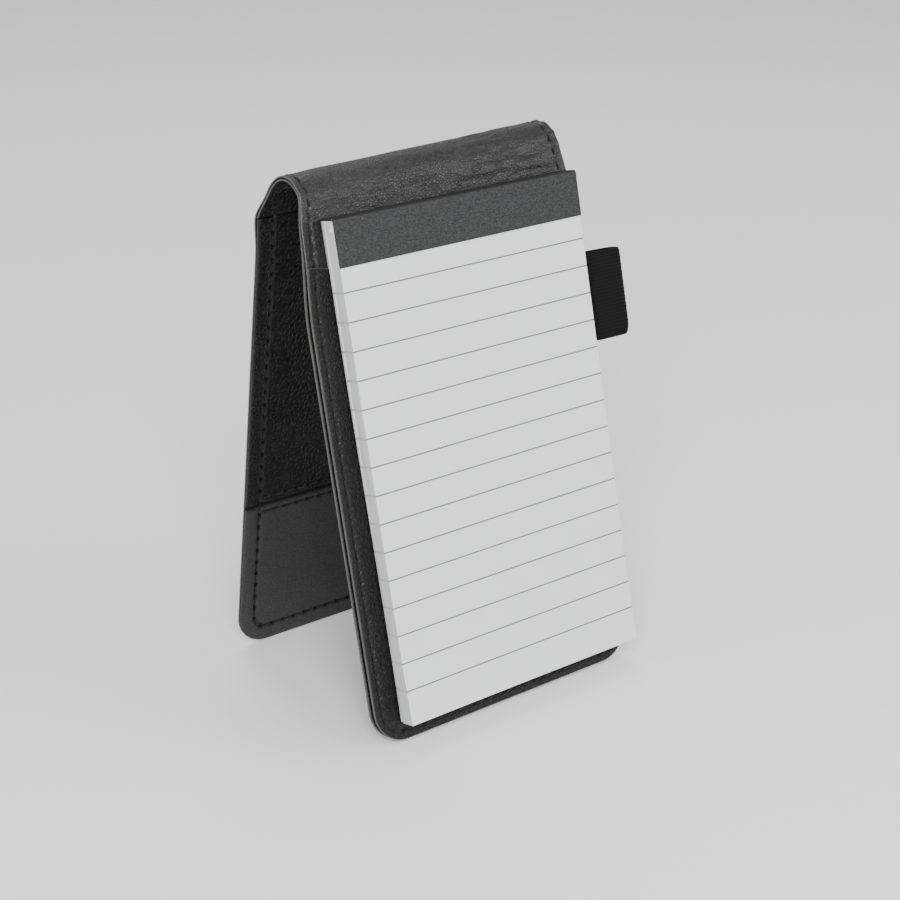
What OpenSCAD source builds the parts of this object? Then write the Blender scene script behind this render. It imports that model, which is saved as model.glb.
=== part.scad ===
// Pocket notebook: a top-opening leather case with a bound pad of ruled sheets.
// It stands as a tent, with its flap folded back behind the panel that carries the pad.
// The panels are drawn flat (x across, y up the panel, z out of it) and then set in place.

/* [Case] */
// Width of the leather case
case_w = 84; // [78:0.5:104]
// Length of the pad panel, from its foot to the near fold line
panel_h = 139.5; // [136:0.1:168]
// Radius of the case's outer corners
corner_r = 9; // [3:0.5:14]
// Lean of the pad panel from the vertical, in degrees
lean = 14.2; // [8:0.1:20]
// Lean of the flap towards the pad panel, in degrees
flap_lean = 7.8; // [2:0.1:14]
// Thickness of the outer leather skin
skin_t = 0.8; // [0.6:0.05:1.2]
// Thickness of the stiffening boards
board_t = 0.8; // [0.5:0.05:1.4]
// Thickness of the lining leather
lining_t = 0.5; // [0.4:0.05:1]
// Gap between a stiffening board's edge and the case's edge
board_inset = 5.5; // [5:0.1:9]

/* [Fold] */
// Width of the spine, from the near fold line to the far one
fold_w = 13; // [11:0.1:16]
// Turn at the near fold line as it stands, in degrees
near_turn = 60; // [50:1:70]
// Turn at the near fold line with the case shut, in degrees
near_shut = 110; // [95:1:112]
// Turn at the far fold line with the case shut, in degrees
far_shut = 71; // [66:1:80]
// Further turn at each fold line with the flap folded right back, in degrees
back_turn = 11; // [4:1:12]
// How far the spine's ends stand in from the case's edges
spine_inset = 1.2; // [0.5:0.1:4]
// Gap between the skin and the lining in the spine
spine_gap = 0.1; // [0.05:0.05:0.3]
// Gap left between two leathers that meet at a fold line when it is bent furthest
fold_play = 0.1; // [0.05:0.05:0.4]

/* [Pocket] */
// Height of the card pocket on the pad panel
pocket_h = 120; // [90:0.5:125]
// Width of the pocket's sewn border
pocket_border = 4; // [3:0.1:4.6]
// Height of the slot between the lining and the pocket
slot_h = 0.5; // [0.45:0.05:1]
// Thickness of the pocket leather
pocket_t = 0.7; // [0.5:0.05:1.2]

/* [Pad] */
// Width of the sheets
pad_w = 76; // [60:0.5:76.5]
// Height of the pad, with its binding
pad_h = 127.3; // [100:0.1:128]
// How far the pad's middle stands right of the case's middle
pad_shift = 3; // [0:0.1:3]
// Height of the pad's foot above the case's foot
pad_foot = 5; // [4.5:0.1:8]
// Thickness of the block of bound sheets
block_t = 3.34; // [2:0.02:8]
// Thickness of the last sheets, which lie in a group of their own
last_sheets_t = 0.72; // [0.3:0.02:2]
// Height of the binding tape on the pad's face
tape_h = 11.5; // [6:0.1:20]
// Thickness of the binding tape
tape_t = 0.3; // [0.2:0.02:0.6]
// Width of the pad's backing card
card_w = 72; // [50:0.5:74.5]
// Thickness of the backing card
card_t = 0.4; // [0.3:0.02:0.42]
// Thickness of one loose top sheet
sheet_t = 0.12; // [0.1:0.01:0.2]
// Gap between two loose top sheets
sheet_gap = 0.04; // [0.03:0.01:0.1]
// How far a loose sheet's top edge stands below the tape
sheet_drop = 0.8; // [0.7:0.05:2]
// Gap between the pad and the pocket's stitches
pad_clear = 0.06; // [0.04:0.01:0.3]

/* [Flap] */
// Height of the seam across the flap
seam_v = 44.5; // [20:0.5:80]
// Gap between the two leathers at the seam
seam_gap = 0.3; // [0.2:0.05:0.6]
// Height of the strip of thin leather between the flap's skin and the fold
strip_h = 12; // [4:0.1:14]
// Distance from the case's edge to the line of stitches
stitch_inset = 4.5; // [3.5:0.1:5.2]
// Distance from the seam to each row of stitches beside it
seam_row = 2.3; // [1.5:0.1:4]
// Width of the sewing thread
thread_w = 0.6; // [0.4:0.05:1]
// Height of the sewing thread above the leather
thread_t = 0.3; // [0.2:0.05:0.5]

/* [Pen loop] */
// Length of the elastic loop along the case's edge
loop_h = 23.7; // [15:0.1:40]
// Height of the loop's lower end above the case's foot
loop_v = 85.3; // [20:0.1:92]
// How far the loop reaches out from the case's edge
loop_out = 15.7; // [12:0.1:22]
// Thickness of the loop across, from front to back
loop_depth = 7.6; // [7:0.1:10]
// Thickness of the elastic webbing
web_t = 0.9; // [0.6:0.05:1]
// Gap between the case's edge and the loop's neck
loop_gap = 0.5; // [0.3:0.05:1]
// Length of the loop's neck, where its two ends lie together
neck_l = 1.4; // [1:0.1:3]
// Length of the loop's sewn ends inside the case
tail_l = 4; // [3:0.1:4.6]

/* [Hidden] */

// Layers of a panel, counted from the face of its outer skin
board_z = skin_t;
lining_z = board_z + board_t;
panel_t = lining_z + lining_t;
pocket_z = panel_t + slot_h;
pocket_top_z = pocket_z + pocket_t;

// Layers of the pad, counted from the same face
card_z = panel_t + (slot_h - card_t) / 2;
last_z = pocket_top_z + thread_t + pad_clear;
block_z = last_z + last_sheets_t;
sheet_z = block_z + block_t + sheet_gap;
sheet_pitch = sheet_t + sheet_gap;
page_z = sheet_z + 2 * sheet_pitch + sheet_t;

// Places across and along the pad panel
edge_x = case_w / 2;
pad_x = pad_shift - pad_w / 2;
head_v = pad_foot + pad_h;
tape_v = head_v - tape_h;
sheet_top = tape_v - sheet_drop;

// The fold: the spine runs from the near fold line to the far one, where the flap goes down
fold_z = skin_t + spine_gap / 2;
far_turn = 180 - lean - flap_lean - near_turn;
spine_angle = lean + near_turn;
near_fold = [panel_h * sin(lean) - fold_z * cos(lean), panel_h * cos(lean) + fold_z * sin(lean)];
far_fold = near_fold + fold_w * [sin(spine_angle), cos(spine_angle)];
flap_h = (far_fold[1] - fold_z * sin(flap_lean)) / cos(flap_lean);
flap_foot_y = far_fold[0] + flap_h * sin(flap_lean) + (panel_t - fold_z) * cos(flap_lean);
flap_foot_z = panel_t * sin(flap_lean);

// How far a face at height h over the fold line stops short of it, to clear a turn
function stop_short(h, turn) = h * tan(turn / 2) + fold_play;
near_skin_stop = stop_short(fold_z, near_turn + back_turn);
far_skin_stop = stop_short(fold_z, far_turn + back_turn);
near_lining_stop = stop_short(panel_t - fold_z, near_shut);
far_lining_stop = stop_short(panel_t - fold_z, far_shut);
spine_lining_h = spine_gap / 2 + lining_t;

// The pen loop, counted from the case's middle
loop_x = edge_x + loop_gap;
ring_x = loop_x + neck_l;
loop_end_x = edge_x + loop_out;
loop_mid_z = board_z + board_t / 2;

// The origin lies under the middle of the whole object
mid_x = (loop_end_x - edge_x) / 2;
mid_y = (flap_foot_y + pad_foot * sin(lean) - page_z * cos(lean)) / 2;

leather = [0.13, 0.13, 0.14];
leather_soft = [0.2, 0.2, 0.2];
card_grey = [0.55, 0.52, 0.48];
thread_black = [0.07, 0.07, 0.07];
paper = [0.88, 0.88, 0.89];

module placed() {
    translate([-mid_x, -mid_y, 0])
        children();
}

// Stands a flat panel on its foot, leaning back
module at_panel() {
    placed() rotate([90 - lean, 0, 0])
        children();
}

// Stands the flap on its foot at the back, leaning forward; z counts from the lining's back face
module at_flap() {
    placed() translate([0, flap_foot_y, flap_foot_z]) rotate([90 + flap_lean, 0, 0])
        children();
}

// Lays a piece along the spine from the near fold line, with z out of the lining
module at_spine() {
    placed() translate([0, near_fold[0], near_fold[1]]) rotate([90 - spine_angle, 0, 0])
        children();
}

// A sheet with round corners at its foot, from x = -w/2 to w/2 and y = v0 to v1
module foot_outline(w, v0, v1, r) {
    union() {
        translate([-w / 2, v0 + r])
            square([w, v1 - v0 - r]);
        translate([-w / 2 + r, v0])
            square([w - 2 * r, r + 0.01]);
        for (side = [-1, 1])
            translate([side * (w / 2 - r), v0 + r])
                circle(r, $fn = 64);
    }
}

module sheet(z0, t) {
    translate([0, 0, z0])
        linear_extrude(t)
            children();
}

// A thread that runs down one side, round the foot and up the other side
module edge_line(inset, v1) {
    r = max(corner_r - inset, 1);
    difference() {
        foot_outline(case_w - 2 * inset + thread_w, inset - thread_w / 2, v1, r + thread_w / 2);
        foot_outline(case_w - 2 * inset - thread_w, inset + thread_w / 2, v1 + 1, r - thread_w / 2);
    }
}

module panel_skin() {
    color(leather) at_panel()
        sheet(0, skin_t)
            foot_outline(case_w, 0, panel_h - near_skin_stop, corner_r);
}

module panel_board() {
    board_w = case_w - 2 * board_inset;
    notch = board_w / 2 - (edge_x - tail_l) + 0.3;
    color(card_grey) at_panel()
        sheet(board_z, board_t)
            difference() {
                foot_outline(board_w, board_inset, pocket_h - 6, max(corner_r - board_inset, 1));
                translate([board_w / 2 - max(notch, 0), loop_v - 0.5])
                    square([max(notch, 0) + 1, loop_h + 1]);
            }
}

module panel_lining() {
    color(leather_soft) at_panel()
        sheet(lining_z, lining_t)
            foot_outline(case_w, 0, panel_h - near_lining_stop, corner_r);
}

// The pocket's face, with its sewn border down to the lining
module card_pocket() {
    color(leather) at_panel() {
        sheet(pocket_z, pocket_t)
            foot_outline(case_w, 0, pocket_h, corner_r);
        sheet(panel_t, slot_h + 0.01)
            difference() {
                foot_outline(case_w, 0, pocket_h, corner_r);
                translate([-edge_x + pocket_border, pocket_border])
                    square([case_w - 2 * pocket_border, pocket_h]);
            }
    }
}

module panel_thread() {
    color(thread_black) at_panel()
        sheet(pocket_top_z, thread_t)
            edge_line(pocket_border / 2 + 0.2, pocket_h - 1);
}

// The sewn ends of the elastic, between the skin and the lining
module loop_tail() {
    color(thread_black) at_panel()
        translate([edge_x - tail_l, loop_v, board_z])
            cube([tail_l, loop_h, board_t]);
}

// One layer of the spine, short of the two fold lines by the two stops
module spine_layer(z0, t, near_stop, far_stop) {
    spine_w = case_w - 2 * spine_inset;
    at_spine()
        translate([-spine_w / 2, near_stop, z0 - fold_z])
            cube([spine_w, fold_w - near_stop - far_stop, t]);
}

module spine_skin() {
    color(leather) spine_layer(0, skin_t, near_skin_stop, far_skin_stop);
}

module spine_lining() {
    color(leather_soft)
        spine_layer(skin_t + spine_gap, lining_t, stop_short(spine_lining_h, near_shut),
            stop_short(spine_lining_h, far_shut));
}

module flap_skin_upper() {
    color(leather) at_flap()
        translate([-edge_x, seam_v + seam_gap / 2, panel_t - skin_t])
            cube([case_w, flap_h - strip_h - seam_v - seam_gap / 2, skin_t]);
}

module flap_skin_lower() {
    color(leather_soft) at_flap()
        sheet(panel_t - skin_t, skin_t)
            foot_outline(case_w, 0, seam_v - seam_gap / 2, corner_r);
}

module flap_strip() {
    strip_w = case_w - 2 * spine_inset;
    color(leather) at_flap()
        translate([-strip_w / 2, flap_h - strip_h + 0.2, panel_t - skin_t])
            cube([strip_w, strip_h - 0.2 - far_skin_stop, skin_t]);
}

module flap_board() {
    color(card_grey) at_flap()
        sheet(lining_t, board_t)
            foot_outline(case_w - 2 * board_inset, board_inset, flap_h - strip_h - 2,
                max(corner_r - board_inset, 1));
}

module flap_lining() {
    color(leather_soft) at_flap()
        sheet(0, lining_t)
            foot_outline(case_w, 0, flap_h - far_lining_stop, corner_r);
}

module flap_edge_thread() {
    color(thread_black) at_flap()
        sheet(panel_t, thread_t)
            edge_line(stitch_inset, flap_h - strip_h - 1);
}

module flap_seam_thread() {
    row_w = case_w - 2 * stitch_inset - 2;
    color(thread_black) at_flap()
        for (side = [-1, 1])
            translate([-row_w / 2, seam_v + side * seam_row - thread_w / 2, panel_t])
                cube([row_w, thread_w, thread_t]);
}

module backing_card() {
    color(card_grey) at_panel()
        translate([-edge_x + pocket_border + 3.5, pocket_border + 0.6, card_z])
            cube([card_w, head_v - pocket_border - 0.6, card_t]);
}

// The glue that holds the sheets' heads to the backing card
module head_glue() {
    glue_x = max(pad_x + 0.5, -edge_x + pocket_border + 3.5);
    color(paper) at_panel()
        translate([glue_x, tape_v, card_z + card_t])
            cube([card_w - 1, tape_h, last_z - card_z - card_t]);
}

module last_sheets() {
    color(paper) at_panel()
        translate([pad_x, pad_foot, last_z])
            cube([pad_w, pad_h, last_sheets_t]);
}

// The bound sheets, with the heads of the loose top sheets under the tape
module page_block() {
    color(paper) at_panel() {
        translate([pad_x, pad_foot, block_z])
            cube([pad_w, pad_h, block_t]);
        translate([pad_x, tape_v, block_z + block_t - 0.01])
            cube([pad_w, tape_h, page_z - block_z - block_t + 0.01]);
    }
}

// The cloth tape, over the pad's head and down its face
module binding_tape() {
    color([0.29, 0.29, 0.29]) at_panel() {
        translate([pad_x, tape_v, page_z])
            cube([pad_w, tape_h, tape_t]);
        translate([pad_x, head_v, last_z])
            cube([pad_w, tape_t, page_z + tape_t - last_z]);
    }
}

// A loose top sheet; the first one is the front one
module top_sheet(k) {
    color(paper) at_panel()
        translate([pad_x, pad_foot, sheet_z + (3 - k) * sheet_pitch])
            cube([pad_w, sheet_top - pad_foot, sheet_t]);
}

// Outline of a flat ring with round ends, from x0 to x1
module race_track(x0, x1, depth) {
    r = depth / 2;
    union() {
        translate([x0 + r, -r])
            square([x1 - x0 - 2 * r, depth]);
        translate([x0 + r, 0])
            circle(r, $fn = 64);
        translate([x1 - r, 0])
            circle(r, $fn = 64);
    }
}

module pen_loop() {
    color(thread_black) at_panel()
        translate([0, loop_v + loop_h, loop_mid_z]) rotate([90, 0, 0])
            linear_extrude(loop_h)
                union() {
                    translate([loop_x, -web_t])
                        square([neck_l + web_t, 2 * web_t]);
                    difference() {
                        race_track(ring_x, loop_end_x, loop_depth);
                        race_track(ring_x + web_t, loop_end_x - web_t, loop_depth - 2 * web_t);
                    }
                }
}

panel_skin();
panel_board();
panel_lining();
card_pocket();
panel_thread();
loop_tail();
spine_skin();
spine_lining();
flap_skin_upper();
flap_skin_lower();
flap_strip();
flap_board();
flap_lining();
flap_edge_thread();
flap_seam_thread();
backing_card();
head_glue();
last_sheets();
page_block();
binding_tape();
top_sheet(1);  // sheet_1
top_sheet(2);  // sheet_2
top_sheet(3);  // sheet_3
pen_loop();
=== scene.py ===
import math

import bmesh
import bpy
import numpy as np
from mathutils import Matrix, Vector


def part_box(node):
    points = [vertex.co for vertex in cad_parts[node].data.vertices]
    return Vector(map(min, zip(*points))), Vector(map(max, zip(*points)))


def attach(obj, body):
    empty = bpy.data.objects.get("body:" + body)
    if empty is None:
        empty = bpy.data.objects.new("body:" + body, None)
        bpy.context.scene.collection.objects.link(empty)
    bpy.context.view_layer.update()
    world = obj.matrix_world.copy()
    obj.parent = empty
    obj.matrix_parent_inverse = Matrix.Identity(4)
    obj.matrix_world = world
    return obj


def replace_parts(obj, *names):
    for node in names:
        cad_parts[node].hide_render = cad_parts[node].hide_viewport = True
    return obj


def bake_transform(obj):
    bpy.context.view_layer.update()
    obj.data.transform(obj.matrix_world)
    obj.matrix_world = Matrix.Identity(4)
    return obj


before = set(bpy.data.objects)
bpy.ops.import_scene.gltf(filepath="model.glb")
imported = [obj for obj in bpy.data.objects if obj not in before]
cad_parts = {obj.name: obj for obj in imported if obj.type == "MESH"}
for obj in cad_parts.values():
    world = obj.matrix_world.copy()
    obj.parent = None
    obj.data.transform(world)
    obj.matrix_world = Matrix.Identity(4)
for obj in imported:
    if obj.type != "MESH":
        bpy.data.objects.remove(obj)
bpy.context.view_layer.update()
mm = 0.001
perMetre = 1000.0

# the case as one bent surface, in millimetres along the leather: x across, s from the pad
# panel's foot up and over the fold to the flap's foot, w out from the outer skin's face
# towards the lining
case = dict(
    width=84.0,
    cornerRadius=9.0,
    lean=math.radians(14.2),
    flapLean=math.radians(7.8),  # towards the pad panel
    skin=0.8,
    foldRadius=6.87,  # of the line between skin and lining, over the top
    foldLine=0.85,  # height of that line above the skin's face
    pocketTop=120.0,
    panelThick=2.1,
    foldInset=1.5,  # the fold's ends stand in this far from the case's sides
    skew=2.2,  # the fold has slipped this far to the right
    sag=2.0,  # and its left end hangs this much lower
)
half = case["width"] / 2
sinLean, cosLean = math.sin(case["lean"]), math.cos(case["lean"])
sinFlap, cosFlap = math.sin(case["flapLean"]), math.cos(case["flapLean"])
skinLow, skinHigh = (np.array(p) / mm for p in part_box("panel_skin"))
flapHigh = np.array(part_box("flap_lining")[1]) / mm
originX = (skinLow[0] + skinHigh[0]) / 2
skinTop = (skinHigh[2] - case["skin"] * sinLean) / cosLean
originY = skinHigh[1] - skinTop * sinLean
# the middle of the fold lies foldRadius inside both panels' fold lines
flapBack = (flapHigh[1] - originY) * cosFlap + case["panelThick"] * sinFlap**2
nearLine = case["foldLine"] - case["foldRadius"]
farLine = flapBack - case["panelThick"] + nearLine
foldY, foldZ = np.linalg.solve([[-cosLean, sinLean], [cosFlap, sinFlap]], [nearLine, farLine])
nearEnd = sinLean * foldY + cosLean * foldZ  # s where the panel starts to bend
foldTurn = math.pi - case["lean"] - case["flapLean"]
farEnd = nearEnd + case["foldRadius"] * foldTurn
flapFootY = flapHigh[1] - originY - case["panelThick"] * cosFlap
caseEnd = farEnd + cosFlap * foldZ - sinFlap * (foldY - flapFootY)
foldMid = (nearEnd + farEnd) / 2


def smooth(a, start, end):
    # 0 before start and 1 after end; between them three t squared less two t cubed
    t = np.clip((a - start) / (end - start), 0, 1)
    return t * t * (3 - 2 * t)


def skew(s):
    # the fold's slip to the right, eased in below the fold and out again past it
    return case["skew"] * smooth(s, 106.0, nearEnd - 6) * (1 - smooth(s, farEnd - 6, farEnd + 9))


def caseSpace(x, s, w):
    # straight up the panel, round an arc of foldRadius, then straight down the flap;
    # the fold is drawn in at its ends and sags towards its left one
    x, s, w = np.broadcast_arrays(x, s, w)
    turn = np.clip((s - nearEnd) / case["foldRadius"], 0, foldTurn)
    angle = math.pi - case["lean"] - turn
    out = case["foldRadius"] + w - case["foldLine"]
    before, after = np.minimum(s - nearEnd, 0), np.maximum(s - farEnd, 0)
    y = foldY + np.cos(angle) * out + before * sinLean + after * sinFlap
    z = foldZ + np.sin(angle) * out + before * cosLean - after * cosFlap
    drawIn = smooth(s, nearEnd - 9, nearEnd + 3) * (1 - smooth(s, farEnd - 2, farEnd + 7))
    over = smooth(s, nearEnd - 8, nearEnd + 6) * (1 - smooth(s, farEnd - 6, farEnd + 12))
    z = z - case["sag"] * over * (0.5 - x / case["width"])
    x = x * (1 - drawIn * case["foldInset"] / half) + skew(s)
    return np.stack([x + originX, y + originY, z], -1) * mm


def flapSpace(x, v, w):
    # the same surface with v measured up from the flap's foot
    return caseSpace(x, caseEnd - v, w)


def panelSpace(x, v, w):
    # the pad's own flat space, which the panel's leather doesn't bend
    x, v, w = np.broadcast_arrays(x, v, w)
    y = v * sinLean - w * cosLean + originY
    z = v * cosLean + w * sinLean
    return np.stack([x + originX, y, z], -1) * mm


# shader expressions
class Field:
    # one shader socket; sums, products and the like add Math nodes
    def __init__(self, finish, socket):
        self.finish, self.socket = finish, socket

    def math(self, operation, *others):
        values = dict(enumerate((self,) + others))
        return self.finish.node("Math", dict(operation=operation), values)

    def __add__(self, other):
        return self.math("ADD", other)

    def __sub__(self, other):
        return self.math("SUBTRACT", other)

    def __mul__(self, other):
        return self.math("MULTIPLY", other)

    def __truediv__(self, other):
        return self.math("DIVIDE", other)

    def __rsub__(self, other):
        return self * -1.0 + other

    def __abs__(self):
        return self.math("ABSOLUTE")

    __radd__, __rmul__ = __add__, __mul__

    def step(self, low, high):  # 0 below low, 1 above high, smooth between
        settings = dict(interpolation_type="SMOOTHSTEP")
        return self.finish.node("MapRange", settings, {0: self, 1: low, 2: high, 3: 0.0, 4: 1.0})


socketNames = dict(baseColor="Base Color", roughness="Roughness", normal="Normal", ior="IOR",
                   specular="Specular IOR Level", sheen="Sheen Weight", sheenRoughness="Sheen Roughness")


class Finish:
    # a material with one Principled shader; the shader's own values are given by socketNames
    def __init__(self, name, **shader):
        self.material = bpy.data.materials.new(name)
        self.material.use_nodes = True
        self.tree = self.material.node_tree
        self.tree.nodes.clear()
        self.shader = self.tree.nodes.new("ShaderNodeBsdfPrincipled")
        output = self.tree.nodes.new("ShaderNodeOutputMaterial")
        self.tree.links.new(self.shader.outputs[0], output.inputs[0])
        for key, value in shader.items():
            self.set(key, value)
        self.place = self.node("TexCoord", {}, {}, "Object")

    def put(self, socket, value):
        if isinstance(value, Field):
            self.tree.links.new(value.socket, socket)
        else:
            socket.default_value = value

    def set(self, key, value):
        self.put(self.shader.inputs[socketNames[key]], value)

    def node(self, kind, settings, values, out=0):
        made = self.tree.nodes.new("ShaderNode" + kind)
        for key, value in settings.items():
            setattr(made, key, value)
        for key, value in values.items():
            self.put(made.inputs[key], value)
        return Field(self, made.outputs[out])

    def along(self, direction, start=0.0):  # millimetres along a direction from the origin
        return self.node("VectorMath", dict(operation="DOT_PRODUCT"),
                         {0: self.place, 1: direction}, "Value") * perMetre - start

    def stretched(self, scale, turn=(0.0, 0.0, 0.0)):  # cycles per metre along each axis
        return self.node("Mapping", dict(vector_type="TEXTURE"),
                         {0: self.place, 2: turn, 3: tuple(1.0 / c for c in scale)})

    def noise(self, size, detail=2.0, rough=0.5):  # size in millimetres
        return self.grain(self.place, detail, rough, perMetre / size)

    def grain(self, place, detail=2.0, rough=0.5, scale=1.0):  # noise over any place
        values = {"Vector": place, "Scale": scale, "Detail": detail, "Roughness": rough}
        return self.node("TexNoise", {}, values, "Fac")

    def cells(self, place):  # distance to the edges of unit cells
        values = {"Vector": place, "Scale": 1.0, "Randomness": 1.0}
        return self.node("TexVoronoi", dict(feature="DISTANCE_TO_EDGE"), values, "Distance")

    def mix(self, factor, first, second):  # two colours
        return self.node("Mix", dict(data_type="RGBA"), {0: factor, 6: first, 7: second}, 2)

    def bump(self, height, depth):  # depth in millimetres
        return self.node("Bump", {}, {"Strength": 1.0, "Distance": depth * mm, "Height": height})


def grey(level, warm=0.0):  # warm above 0 is redder, below 0 bluer
    return (level * (1 + warm), level, level * (1 - warm), 1.0)


# finishes
# edge is the colour of the painted highlight along the turned edges
leatherLook = dict(
    pebbled=dict(grain=1.25, depth=0.13, dark=0.0025, light=0.0070, rough=0.34, wrinkle=0.05, gloss=0.29,
                 edge=0.11),
    # the smooth leather's dark and light levels, on the flap's lower strip, are partly its own colour and
    # partly painted light bounced up from the floor
    smooth=dict(grain=0.70, depth=0.060, dark=0.0200, light=0.0290, rough=0.50, wrinkle=0.05, gloss=0.40,
                edge=0.05),
    lining=dict(grain=0.72, depth=0.055, dark=0.0050, light=0.0210, rough=0.31, wrinkle=0.30, gloss=0.50,
                edge=0.12),
)


def leather(name, look):
    # pebbles are rounded cells with soft valleys, broken up by finer pores and long soft wrinkles;
    # the turned edges get a paler colour, a painted highlight; the "rim" attribute is 1 there and
    # falls below 0 in a groove, which gets painted shade: near black, and dull
    f = Finish(name, ior=1.5, specular=look["gloss"])
    warp = f.noise(3.5, 2.0)
    swirl = f.node("TexNoise", {}, {"Vector": f.place, "Scale": 260.0, "Detail": 2.0}, "Color")
    bent = f.node("VectorMath", dict(operation="MULTIPLY_ADD"), {0: swirl, 1: (0.9 * mm,) * 3, 2: f.place})
    scaled = f.node("VectorMath", dict(operation="SCALE"), {0: bent, 3: perMetre / look["grain"]})
    pebble = f.cells(scaled).step(0.0, 0.30)
    pore = f.noise(0.22, 3.0, 0.6)
    wrinkle = f.grain(f.stretched((150.0, 420.0, 420.0)), 4.0, 0.62)
    crease = 1.0 - abs(wrinkle - 0.5).step(0.0, 0.035)
    height = pebble * (0.66 + 0.34 * warp) + pore * 0.22 - crease * look["wrinkle"] * 4.0
    tone = f.noise(14.0, 3.0, 0.55)
    paintedLight = f.node("Attribute", dict(attribute_name="rim"), {}, "Fac")
    # where the rim attribute is below 0, in grooves, stitch holes and the seam, the colour is darkened to
    # near black as painted shade
    groove = (0.0 - paintedLight).step(0.0, 1.0)
    shade = f.mix((tone * 0.7 + pebble * 0.5).step(0.35, 0.95), grey(look["dark"], 0.01),
                  grey(look["light"], 0.02))
    # a paler colour near the outline: painted highlight
    highlightedEdge = f.mix(paintedLight.step(0.0, 1.0) * (0.55 + 0.45 * tone), shade, grey(look["edge"], 0.02))
    f.set("baseColor", f.mix(groove, highlightedEdge, grey(0.0006)))
    f.set("roughness", look["rough"] + (1.0 - pebble) * 0.18 + (tone - 0.5) * 0.24 + (pore - 0.5) * 0.08
          + groove * 0.5)
    f.set("normal", f.bump(height, look["depth"]))
    return f.material


def threadFinish(name):
    # two plies twisted round each other, matt and slightly fuzzy
    f = Finish(name, ior=1.5, specular=0.3, sheen=0.1, sheenRoughness=0.5)
    ply = f.node("TexWave", dict(wave_type="BANDS", bands_direction="DIAGONAL"),
                 {"Vector": f.place, "Scale": 900.0, "Distortion": 1.0}, "Fac")
    fuzz = f.noise(0.12, 3.0, 0.6)
    f.set("baseColor", f.mix(ply * 0.7 + fuzz * 0.3, grey(0.0012), grey(0.006)))
    f.set("roughness", 0.5 + fuzz * 0.3)
    f.set("normal", f.bump(ply + fuzz * 0.4, 0.05))
    return f.material


def boardFinish(name, level):
    # pressed card with short fibres lying every way
    f = Finish(name, ior=1.45)
    fibre = f.grain(f.stretched((900.0, 2600.0, 2600.0), (0.2, 0.1, 0.5)), 4.0, 0.65)
    cloud = f.noise(4.0, 3.0)
    f.set("baseColor", f.mix(fibre * 0.6 + cloud * 0.4, grey(level * 0.8, 0.04), grey(level * 1.15, 0.05)))
    f.set("roughness", 0.78 + fibre * 0.14)
    f.set("normal", f.bump(fibre, 0.03))
    return f.material


# the pad's outline on the panel, its heights out from the panel, and its ruling
pad = dict(left=-35.0, right=41.0, foot=5.0, head=132.3, tapeFoot=120.8, cardBack=2.2, lastLow=3.66,
           blockLow=4.38, blockHigh=7.72, sheet=0.12, gap=0.04, face=8.2, tape=0.3,
           fanUp=34.0, fanFoot=0.30, fanCorner=0.22)
ruling = dict(firstLine=114.8, pitch=7.2, count=15, halfThick=0.17)
upPanel = (0.0, sinLean, cosLean)
outPanel = (0.0, -cosLean, sinLean)
panelFoot = float(np.dot(upPanel, (0.0, originY, 0.0)))
panelFace = float(np.dot(outPanel, (0.0, originY, 0.0)))


def ruledMask(f, soften=1.0):
    # 1 on each ruled line: the distance to the nearest multiple of the pitch from the first line
    v = f.node("Attribute", dict(attribute_name="padHeight"), {}, "Fac")
    from0 = (ruling["firstLine"] + ruling["pitch"] / 2 - v) / ruling["pitch"]
    part = abs(from0.math("FRACT") - 0.5) * ruling["pitch"]
    line = 1.0 - part.step(ruling["halfThick"] * 0.6, ruling["halfThick"] * 1.6 * soften)
    inside = from0.step(-0.001, 0.0) * (1.0 - from0.step(ruling["count"], ruling["count"] + 0.001))
    return line * inside


def pageFinish(name):
    # smooth writing paper: faint cloudy fibres, and ruled lines in pale ink
    f = Finish(name, ior=1.45, specular=0.3)
    fibre = f.grain(f.stretched((1500.0, 2600.0, 2600.0), (0.0, 0.0, 0.3)), 4.0, 0.6)
    cloud = f.noise(11.0, 3.0)
    sheetColour = f.mix(fibre * 0.5 + cloud * 0.5, (0.655, 0.664, 0.672, 1.0), (0.735, 0.742, 0.750, 1.0))
    ink = ruledMask(f) * (0.80 + 0.2 * f.noise(0.8, 2.0))
    f.set("baseColor", f.mix(ink, sheetColour, (0.070, 0.072, 0.078, 1.0)))
    f.set("roughness", 0.62 + fibre * 0.16)
    f.set("normal", f.bump(fibre + cloud * 0.4, 0.012))
    return f.material


def pageEdgeFinish(name):
    # the cut edges of many sheets: thin layers across the thickness, uneven along it
    f = Finish(name, ior=1.45, specular=0.25)
    out = f.along(outPanel, panelFace)
    v = f.along(upPanel, panelFoot)
    wander = f.noise(16.0, 2.0) * 0.22
    layer = f.node("TexNoise", dict(noise_dimensions="2D"),
                   {"Vector": f.node("CombineXYZ", {}, {0: (out + wander) * 5.5, 1: v * 0.035}),
                    "Scale": 1.0, "Detail": 3.0, "Roughness": 0.6}, "Fac")
    gap = 1.0 - (layer - 0.30).step(0.0, 0.16)
    colour = f.mix(gap * 0.75, (0.60, 0.605, 0.61, 1.0), (0.30, 0.303, 0.308, 1.0))
    ink = ruledMask(f, 1.8) * 0.45
    f.set("baseColor", f.mix(ink, colour, (0.24, 0.242, 0.25, 1.0)))
    f.set("roughness", 0.75 + layer * 0.15)
    f.set("normal", f.bump(layer, 0.10))
    return f.material


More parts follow.
